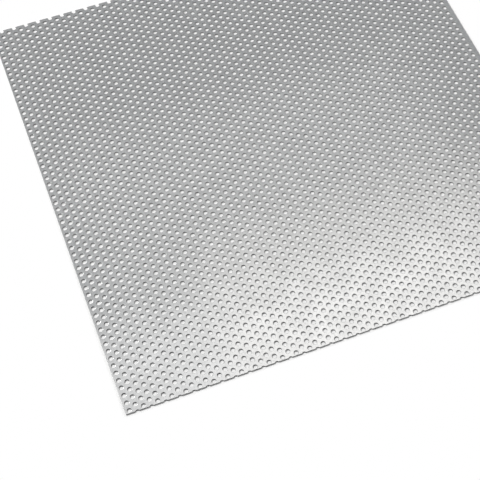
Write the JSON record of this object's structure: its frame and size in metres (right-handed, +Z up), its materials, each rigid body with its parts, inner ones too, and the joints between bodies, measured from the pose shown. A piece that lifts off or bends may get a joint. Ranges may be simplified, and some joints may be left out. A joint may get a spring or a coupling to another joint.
{
  "type": "perforated metal sheet",
  "caption": "Flat thin metal sheet punched all over with small round holes in a close staggered pattern, with cut edges that run through the holes, for guards, screens and grilles.",
  "frame": {"origin": "middle of the sheet's underside", "axes": "+Z up through the thickness; +Y along the columns of holes, from the front shear cut to the back one; +X across the columns"},
  "size_m": [0.31, 0.3, 0.001],
  "materials": {
    "sheet": "fine matte mill finish, punched and sheared edges left bare"
  },
  "bodies": {
    "root": {"perforated_sheet": "sheet"}
  },
  "joints": []
}
